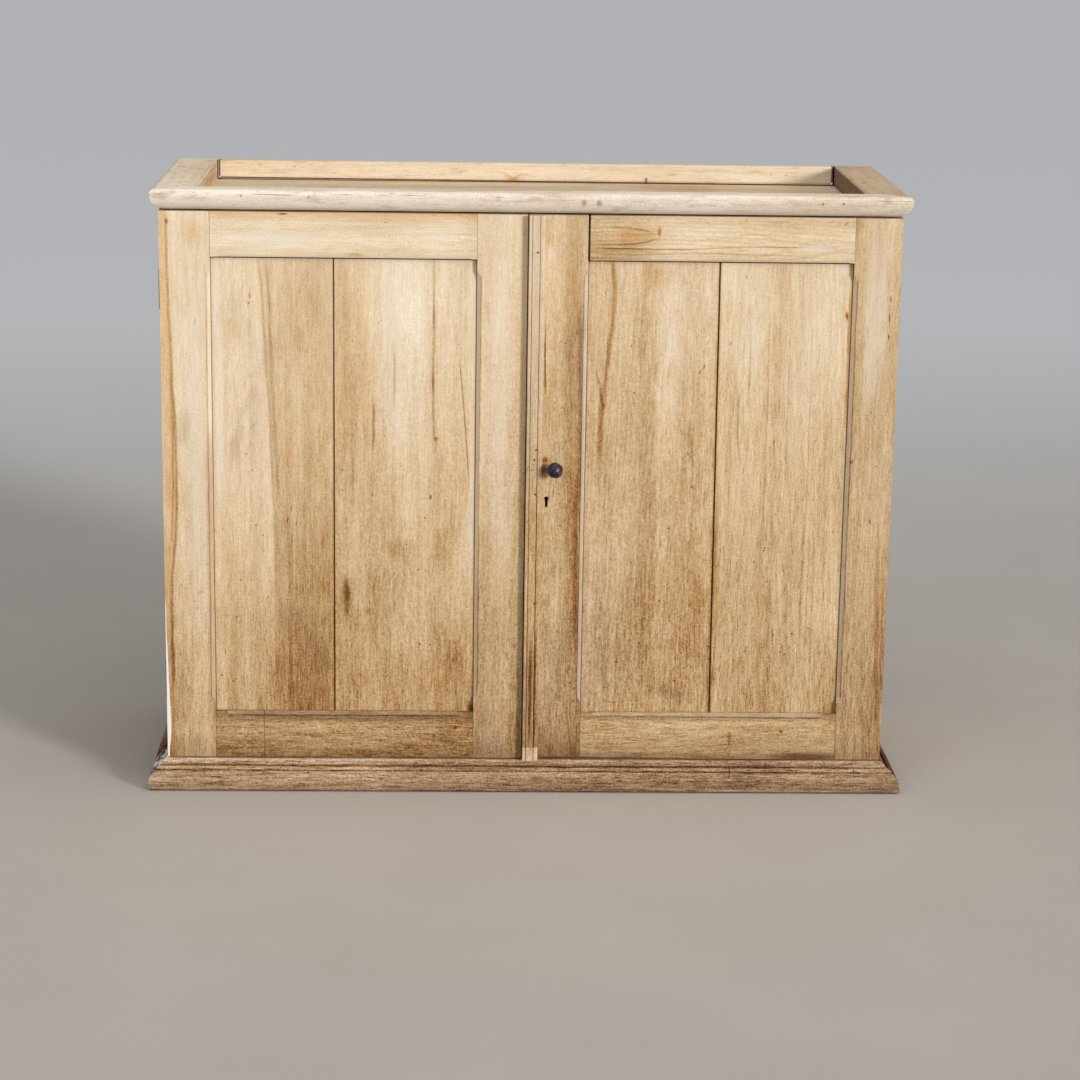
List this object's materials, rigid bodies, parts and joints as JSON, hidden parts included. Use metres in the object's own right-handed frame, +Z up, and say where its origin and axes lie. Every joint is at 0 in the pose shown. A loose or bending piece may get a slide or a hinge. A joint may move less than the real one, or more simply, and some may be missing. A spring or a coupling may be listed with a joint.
{
  "type": "two-door cupboard",
  "caption": "Low wooden cupboard with framed and panelled overlay doors, a shelf, moulded base, raised rim round the top, cover strip, iron knob and lock.",
  "frame": {"origin": "on the floor, in the middle of the overall box", "axes": "+X along the width to the viewer's right, +Y towards the back, +Z up; the doors face -Y"},
  "size_m": [1.262, 0.464, 1.005],
  "materials": {
    "left_door_wood": "stripped, waxed",
    "right_door_wood": "stripped, waxed",
    "rim_wood": "stripped, worn",
    "base_wood": "stripped, stained",
    "carcass_wood": "bare",
    "patch_wood": "bare",
    "knob_iron": "dark, worn smooth",
    "fitting_iron": "old iron"
  },
  "bodies": {
    "carcass": {"back_board_1": "carcass_wood", "back_board_2": "carcass_wood", "back_board_3": "carcass_wood", "back_board_4": "carcass_wood", "base_back_rail": "base_wood", "base_corner_blocks": "base_wood", "base_front_moulding": "base_wood", "base_left_moulding": "base_wood", "base_right_moulding": "base_wood", "bottom_board": "carcass_wood", "hinge_pins": "fitting_iron", "left_lower_hinge_case_leaf": "fitting_iron", "left_shelf_batten": "carcass_wood", "left_side": "carcass_wood", "left_upper_hinge_case_leaf": "fitting_iron", "right_lower_hinge_case_leaf": "fitting_iron", "right_shelf_batten": "carcass_wood", "right_side": "carcass_wood", "right_upper_hinge_case_leaf": "fitting_iron", "shelf": "carcass_wood", "top_back_rail": "rim_wood", "top_board": "carcass_wood", "top_front_nosing": "rim_wood", "top_left_rail": "rim_wood", "top_right_rail": "rim_wood"},
    "left_door": {"left_door_bottom_rail": "left_door_wood", "left_door_hinge_stile": "left_door_wood", "left_door_inner_panel": "left_door_wood", "left_door_meeting_stile": "left_door_wood", "left_door_outer_panel": "left_door_wood", "left_door_top_rail": "left_door_wood", "left_lower_hinge_door_leaf": "fitting_iron", "left_upper_hinge_door_leaf": "fitting_iron", "lock_keeper": "fitting_iron", "lower_bolt_plate": "fitting_iron", "upper_bolt_plate": "fitting_iron"},
    "right_door": {"cover_strip": "right_door_wood", "cover_strip_end_patch": "patch_wood", "knob": "knob_iron", "knob_nut": "knob_iron", "lock_case": "fitting_iron", "right_door_bottom_rail": "right_door_wood", "right_door_hinge_stile": "right_door_wood", "right_door_inner_panel": "right_door_wood", "right_door_meeting_stile": "right_door_wood", "right_door_outer_panel": "right_door_wood", "right_door_top_rail": "right_door_wood", "right_lower_hinge_door_leaf": "fitting_iron", "right_upper_hinge_door_leaf": "fitting_iron"},
    "upper_bolt": {"upper_bolt_rod": "fitting_iron"},
    "lower_bolt": {"lower_bolt_rod": "fitting_iron"},
    "lock_bolt": {"lock_bolt": "fitting_iron"}
  },
  "joints": [
    {"name": "left_door_hinge", "type": "hinge", "parent": "carcass", "child": "left_door", "pos_m": [-0.6004, -0.17525, 0.5], "axis": [0, 0, -1], "range_deg": [0, 180]},
    {"name": "right_door_hinge", "type": "hinge", "parent": "carcass", "child": "right_door", "pos_m": [0.6004, -0.17525, 0.5], "axis": [0, 0, 1], "range_deg": [0, 180]},
    {"name": "lock_bolt_slide", "type": "slide", "parent": "right_door", "child": "lock_bolt", "axis": [-1, 0, 0], "range_m": [0, 0.01]},
    {"name": "upper_bolt_slide", "type": "slide", "parent": "left_door", "child": "upper_bolt", "axis": [0, 0, 1], "range_m": [0, 0.014]},
    {"name": "lower_bolt_slide", "type": "slide", "parent": "left_door", "child": "lower_bolt", "axis": [0, 0, -1], "range_m": [0, 0.014]}
  ]
}
